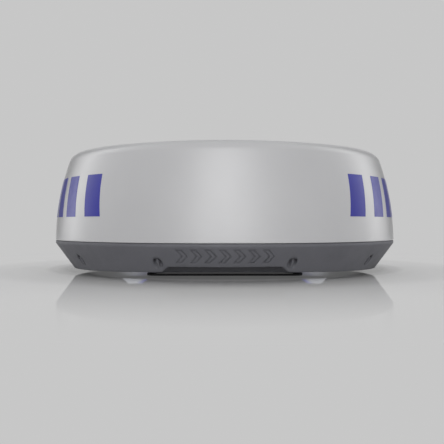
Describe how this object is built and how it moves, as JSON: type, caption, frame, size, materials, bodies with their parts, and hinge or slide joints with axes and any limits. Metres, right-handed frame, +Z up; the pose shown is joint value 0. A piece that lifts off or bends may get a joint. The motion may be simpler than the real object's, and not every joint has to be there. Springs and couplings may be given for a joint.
{
  "type": "radar dome antenna",
  "caption": "Closed white radar dome on a dark cast base with a square mounting plinth, and a belt-driven turning array inside.",
  "frame": {"origin": "centre of the bottom face, on the mounting surface", "axes": "+Z up along the turning axis, -Y towards the front notch, +X to the right seen from the front"},
  "size_m": [0.6115, 0.6116, 0.229],
  "materials": {
    "white_shell": "satin white gel coat",
    "dark_casting": "dark grey powder coat on cast aluminium",
    "black_rubber": "matt",
    "steel": "plain stainless",
    "dark_steel": "black oxide",
    "bearing_steel": "polished",
    "brass": "plain",
    "lens": "translucent, lit from behind",
    "led": "white package",
    "circuit_board": "solder mask",
    "black_plastic": "moulded",
    "contact_gold": "plated",
    "machined_aluminium": "machined",
    "cast_aluminium": "cast",
    "motor_laminations": "varnished laminations",
    "tin_plate": "tinned",
    "copper": "bare copper",
    "mark_vinyl": "cut vinyl",
    "magnet": "nickel plated",
    "cable_jacket": "wire insulation"
  },
  "bodies": {
    "base": {"radome_cover": "white_shell", "cover_seal": "black_rubber", "cover_inserts": "brass", "cover_screws": "steel", "lower_base": "dark_casting", "mount_gasket": "black_rubber", "mount_inserts": "steel", "accent_lens_left": "lens", "accent_lens_right": "lens", "accent_board_left": "circuit_board", "accent_board_right": "circuit_board", "accent_leds": "led", "vent_plug": "black_plastic", "vent_nut": "black_plastic", "connector_housing": "dark_casting", "connector_gasket": "black_rubber", "connector_screws": "steel", "power_socket": "steel", "data_socket": "steel", "socket_inserts": "black_plastic", "contact_pins": "contact_gold", "bearing_housing": "machined_aluminium", "drive_screws": "dark_steel", "lower_bearing_outer": "bearing_steel", "upper_bearing_outer": "bearing_steel", "bearing_retainer": "machined_aluminium", "motor_plate": "machined_aluminium", "motor_posts": "machined_aluminium", "motor_body": "motor_laminations", "motor_end_caps": "cast_aluminium", "drive_belt": "black_rubber", "rotary_joint_stator": "brass", "transceiver_board": "circuit_board", "transceiver_shield": "tin_plate", "main_board": "circuit_board", "board_components": "black_plastic", "board_standoffs": "brass", "board_screws": "steel", "internal_harness": "cable_jacket", "position_sensor": "circuit_board", "side_mark_left": "mark_vinyl", "side_mark_right": "mark_vinyl"},
    "antenna": {"antenna_shaft": "steel", "lower_bearing_inner": "bearing_steel", "upper_bearing_inner": "bearing_steel", "drive_pulley": "machined_aluminium", "antenna_carrier": "cast_aluminium", "carrier_fasteners": "dark_steel", "array_backplate": "machined_aluminium", "array_board": "circuit_board", "patch_elements": "copper", "feed_coax": "copper", "counterweight": "steel", "rotary_joint_rotor": "brass", "position_magnet": "magnet"},
    "bearing_balls": {"lower_ball_set": "brass", "upper_ball_set": "brass"},
    "motor_rotor": {"motor_shaft": "steel", "motor_pulley": "machined_aluminium"}
  },
  "joints": [
    {"name": "antenna_spin", "type": "hinge", "parent": "base", "child": "antenna", "pos_m": [0, 0, 0.1], "axis": [0, 0, 1], "continuous": true},
    {"name": "ball_orbit", "type": "hinge", "parent": "base", "child": "bearing_balls", "pos_m": [0, 0, 0.06], "axis": [0, 0, 1], "continuous": true},
    {"name": "motor_spin", "type": "hinge", "parent": "base", "child": "motor_rotor", "pos_m": [0, 0.108, 0.1], "axis": [0, 0, 1], "continuous": true}
  ],
  "couplings": [
    {"joint": "ball_orbit", "follows": "antenna_spin", "ratio": 0.3871},
    {"joint": "motor_spin", "follows": "antenna_spin", "ratio": 3.75}
  ]
}
